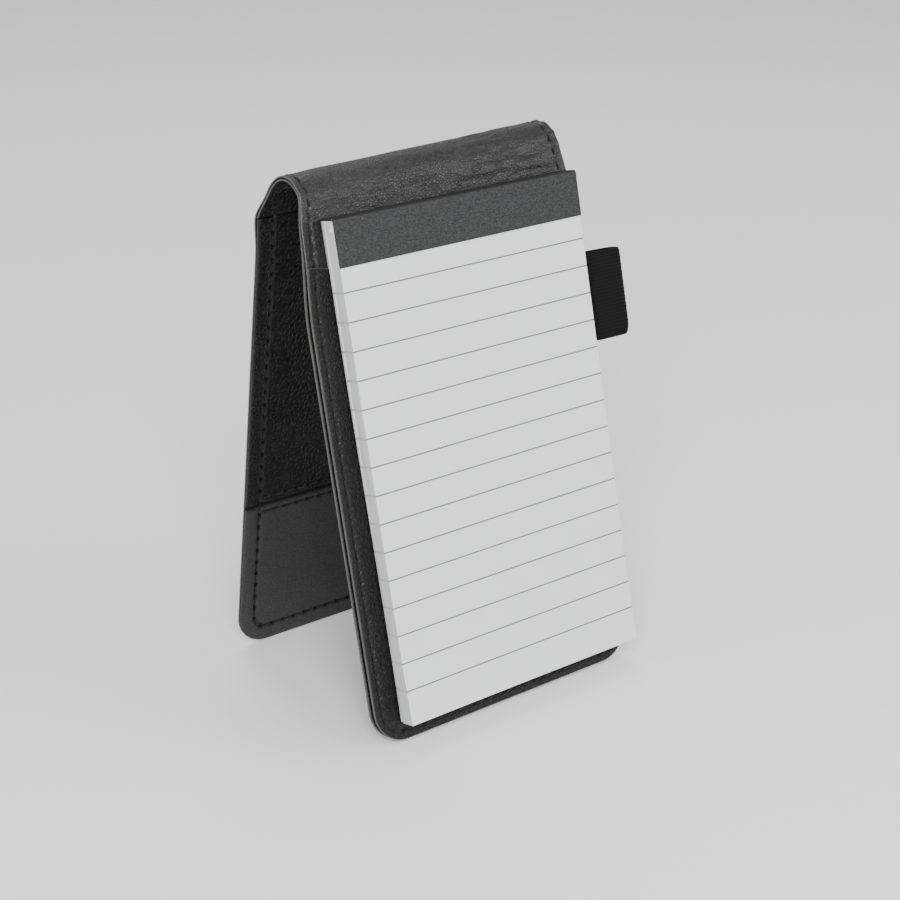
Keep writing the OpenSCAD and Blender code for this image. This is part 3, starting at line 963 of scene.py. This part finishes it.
# the elastic loop
def penLoop():
    # the band is a flat ring carried up its length, ribbed, with rounded selvedges, and a flat neck
    # joins it to the panel
    r = loop["depth"] / 2
    turn = np.linspace(0, math.pi / 2, 9)
    side = np.linspace(loop["left"] + r, loop["right"] - r, 8)[1:-1]
    halfRing = np.concatenate([
        np.stack([loop["left"] + r - r * np.cos(turn), r * np.sin(turn)], -1),
        np.stack([side, 0 * side + r], -1),
        np.stack([loop["right"] - r + r * np.sin(turn), r * np.cos(turn)], -1)])
    ring = np.concatenate([halfRing, halfRing[-2:0:-1] * [1, -1]])
    ring = np.concatenate([ring, ring[:1]])
    ahead = np.gradient(ring, axis=0)
    ahead[0] = ahead[-1] = ring[1] - ring[-2]
    n = np.stack([ahead[:, 1], -ahead[:, 0]], -1) / np.linalg.norm(ahead, axis=1)[:, None]
    rows = spaced(0.0, loop["length"], 0.155, 0.35)
    rib = loop["ribDepth"] * np.cos(rows * 2 * math.pi / loop["ribPitch"])
    e = rounding(np.minimum(rows, loop["length"] - rows), 0.35)
    mid = ring + n * loop["webbing"] / 2
    thick = (loop["webbing"] / 2 + rib) * (0.25 + 0.75 * e)
    inner = mid[None] + n[None] * thick[:, None, None]
    outer = mid[None] - n[None] * thick[:, None, None]
    # the far side of the band hangs a little lower and its outer lower corner is drawn in
    out = np.clip((ring[:, 0] - loop["left"]) / (loop["right"] - loop["left"]), 0, 1)[None]
    v = loop["foot"] + rows[:, None] + 0 * out
    rise = loop["rise"] - 0.5 * out

    def placed(flat):
        share = (rows / loop["length"])[:, None]
        draw = 1.1 * out**2 * np.clip(1 - share / 0.16, 0, 1) ** 2
        top = 0.25 * out**2 * np.clip((share - 0.90) / 0.10, 0, 1) ** 2
        return panelSpace(flat[..., 0] - draw - top, v + rise + 0.25 * draw, loop["middle"] + flat[..., 1])

    points = np.concatenate([placed(inner).reshape(-1, 3), placed(outer).reshape(-1, 3)])
    band = makePiece("penLoop", points, shellFaces(*inner.shape[:2])[0], "elastic", sharpAngle=60)

    x = spaced(loop["neckStart"], loop["left"] + 1.4, 0.5, 0.3, (True, False))[None]
    v = rows[:, None] + loop["foot"] + loop["rise"]
    tall = np.interp(x, [41.0, 42.6], [0.38, 0.88])
    ribs = (0.03 * np.cos(rows * 2 * math.pi / loop["ribPitch"]))[:, None]
    tallE = (tall + ribs) * (0.3 + 0.7 * e[:, None])
    neck = shell("penLoopNeck", x + 0 * v, v + 0 * x, loop["middle"] - tallE, loop["middle"] + tallE,
                 panelSpace, "elastic", sharpAngle=60)
    ends = [asPoint(panelSpace(loop[side], loop["bendHeight"], loop["middle"]))
            for side in ("bendLeft", "bendRight")]
    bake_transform(neck)
    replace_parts(neck, "loop_tail")
    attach(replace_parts(band, "pen_loop"), "pen_loop")


penLoop()
print("elastic loop made")

# CAD nodes that stay as they are
for node, slotName in dict(panel_board="board", flap_board="board", backing_card="card",
                           head_glue="glue").items():
    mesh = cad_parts[node].data
    mesh.materials.clear()
    mesh.materials.append(finishes[slotName])


# floor, light and camera
studioLook = dict(
    floor=0.94,
    floorDrop=0.2,  # so that the floor and the leather's foot don't share a plane
    sky=0.62,
    lights=dict(
        key=dict(at=(-0.60, -0.80, 0.72), size=0.6, power=17.0),
        fill=dict(at=(0.75, -0.70, 0.55), size=0.8, power=6.0),
        top=dict(at=(0.20, 0.55, 0.95), size=0.5, power=3.0),
    ),
)


def studio():
    # a pale floor, an even sky and three soft lamps turned towards the notebook
    floorFinish = Finish("paleFloor", roughness=0.9, baseColor=grey(studioLook["floor"]))
    bpy.ops.mesh.primitive_plane_add(size=6.0, location=(0, 0, -studioLook["floorDrop"] * mm))
    floor = bpy.context.object
    floor.name = "floor"
    floor.data.materials.append(floorFinish.material)

    world = bpy.data.worlds.new("studioSky")
    bpy.context.scene.world = world
    world.use_nodes = True
    sky = world.node_tree.nodes["Background"]
    sky.inputs[0].default_value = (1.0, 1.0, 1.0, 1.0)
    sky.inputs[1].default_value = studioLook["sky"]
    for name, look in studioLook["lights"].items():
        data = bpy.data.lights.new(name, "AREA")
        data.size, data.energy = look["size"], look["power"]
        lamp = bpy.data.objects.new(name, data)
        bpy.context.scene.collection.objects.link(lamp)
        lamp.location = look["at"]
        aim = Vector((0, 0, 0.06)) - lamp.location
        lamp.rotation_euler = aim.to_track_quat("-Z", "Y").to_euler()


cameraPlace = dict(
    at=(-0.29827, -0.37783, 0.26427),
    right=(0.78982, -0.61329, 0.00760),
    down=(-0.23563, -0.31485, -0.91942),
    forward=(0.56627, 0.72438, -0.39319),
    lens=78.88,
)


def camera():
    # placed by three directions: to the right, down and forward in its own view
    data = bpy.data.cameras.new("camera")
    data.lens, data.sensor_width = cameraPlace["lens"], 36.0
    data.clip_start = 0.01
    made = bpy.data.objects.new("camera", data)
    bpy.context.scene.collection.objects.link(made)
    right, down, forward = (Vector(cameraPlace[k]) for k in ("right", "down", "forward"))
    turn = Matrix((right, -down, -forward)).transposed().to_4x4()
    made.matrix_world = Matrix.Translation(cameraPlace["at"]) @ turn
    bpy.context.scene.camera = made


studio()
camera()
print("studio and camera ready")

bpy.context.view_layer.update()
